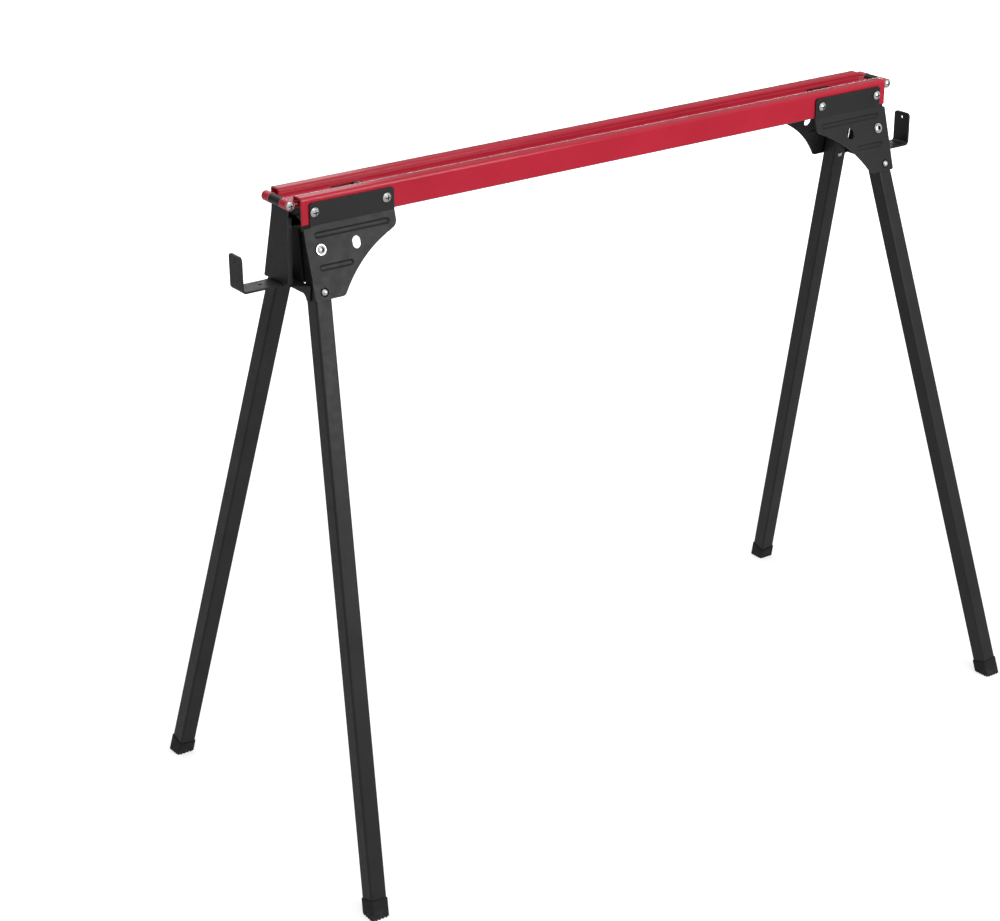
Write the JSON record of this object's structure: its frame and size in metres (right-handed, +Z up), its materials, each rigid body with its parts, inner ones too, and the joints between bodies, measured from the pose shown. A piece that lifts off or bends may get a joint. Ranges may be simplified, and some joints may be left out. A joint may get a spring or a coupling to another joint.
{
  "type": "folding sawhorse",
  "caption": "Folding sawhorse: a long red folded-sheet beam on splayed square black legs that swing up under it, with a hinged hook bracket at each end.",
  "frame": {"origin": "on the floor under the middle of the beam", "axes": "+X along the beam, +Y across it, +Z up"},
  "size_m": [1.037, 0.5008, 0.81],
  "materials": {
    "beam": "glossy red powder coat, worn lighter on the edges",
    "black_steel": "satin black powder coat",
    "zinc": "bright zinc plate",
    "spring_steel": "blued spring steel",
    "foot": "matte black rubber"
  },
  "bodies": {
    "frame": {"top_beam": "beam", "gusset_front_left": "black_steel", "gusset_front_right": "black_steel", "gusset_back_left": "black_steel", "gusset_back_right": "black_steel", "pivot_bolts": "zinc", "pivot_spacers": "zinc", "pivot_washers": "zinc", "pivot_nuts": "zinc", "gusset_bolts": "zinc", "gusset_nuts": "zinc", "hinge_sleeves": "zinc", "hinge_screws": "zinc"},
    "leg_front_left": {"leg_tube_front_left": "black_steel", "foot_cap_front_left": "foot", "spring_rivet_front_left": "zinc", "button_spring_front_left": "spring_steel"},
    "leg_front_right": {"leg_tube_front_right": "black_steel", "foot_cap_front_right": "foot", "spring_rivet_front_right": "zinc", "button_spring_front_right": "spring_steel"},
    "leg_back_left": {"leg_tube_back_left": "black_steel", "foot_cap_back_left": "foot", "spring_rivet_back_left": "zinc", "button_spring_back_left": "spring_steel"},
    "leg_back_right": {"leg_tube_back_right": "black_steel", "foot_cap_back_right": "foot", "spring_rivet_back_right": "zinc", "button_spring_back_right": "spring_steel"},
    "button_front_left": {"snap_button_front_left": "zinc"},
    "button_front_right": {"snap_button_front_right": "zinc"},
    "button_back_left": {"snap_button_back_left": "zinc"},
    "button_back_right": {"snap_button_back_right": "zinc"},
    "bracket_left": {"end_plate_left": "black_steel", "end_web_left": "black_steel", "hook_left": "black_steel", "hook_rivets_left": "black_steel"},
    "bracket_right": {"end_plate_right": "black_steel", "end_web_right": "black_steel", "hook_right": "black_steel", "hook_rivets_right": "black_steel"}
  },
  "joints": [
    {"name": "fold_front_left", "type": "hinge", "parent": "frame", "child": "leg_front_left", "pos_m": [-0.4291, -0.04242, 0.74952], "axis": [0.0002, -0.9623, 0.272], "range_deg": [0, 97.2], "deforming": ["snap_button_front_left", "button_spring_front_left"]},
    {"name": "fold_front_right", "type": "hinge", "parent": "frame", "child": "leg_front_right", "pos_m": [0.4291, -0.04242, 0.74952], "axis": [0.0002, 0.9623, -0.272], "range_deg": [0, 93.3], "deforming": ["snap_button_front_right", "button_spring_front_right"]},
    {"name": "fold_back_left", "type": "hinge", "parent": "frame", "child": "leg_back_left", "pos_m": [-0.4291, 0.04242, 0.74952], "axis": [-0.0002, -0.9623, -0.272], "range_deg": [0, 97.2], "deforming": ["snap_button_back_left", "button_spring_back_left"]},
    {"name": "fold_back_right", "type": "hinge", "parent": "frame", "child": "leg_back_right", "pos_m": [0.4291, 0.04242, 0.74952], "axis": [-0.0002, 0.9623, 0.272], "range_deg": [0, 93.3], "deforming": ["snap_button_back_right", "button_spring_back_right"]},
    {"name": "press_front_left", "type": "slide", "parent": "leg_front_left", "child": "button_front_left", "axis": [0, 0.9629, -0.2698], "range_m": [0, 0.0062], "stiffness_N_per_m": 900, "springref_m": -0.004, "deforming": ["button_spring_front_left"]},
    {"name": "press_front_right", "type": "slide", "parent": "leg_front_right", "child": "button_front_right", "axis": [0, 0.9629, -0.2698], "range_m": [0, 0.0062], "stiffness_N_per_m": 900, "springref_m": -0.004, "deforming": ["button_spring_front_right"]},
    {"name": "press_back_left", "type": "slide", "parent": "leg_back_left", "child": "button_back_left", "axis": [0, -0.9629, -0.2698], "range_m": [0, 0.0062], "stiffness_N_per_m": 900, "springref_m": -0.004, "deforming": ["button_spring_back_left"]},
    {"name": "press_back_right", "type": "slide", "parent": "leg_back_right", "child": "button_back_right", "axis": [0, -0.9629, -0.2698], "range_m": [0, 0.0062], "stiffness_N_per_m": 900, "springref_m": -0.004, "deforming": ["button_spring_back_right"]},
    {"name": "swing_left", "type": "hinge", "parent": "frame", "child": "bracket_left", "pos_m": [-0.4574, 0, 0.802], "axis": [0, 1, 0], "range_deg": [0, 90]},
    {"name": "swing_right", "type": "hinge", "parent": "frame", "child": "bracket_right", "pos_m": [0.4574, 0, 0.802], "axis": [0, -1, 0], "range_deg": [0, 90]}
  ]
}
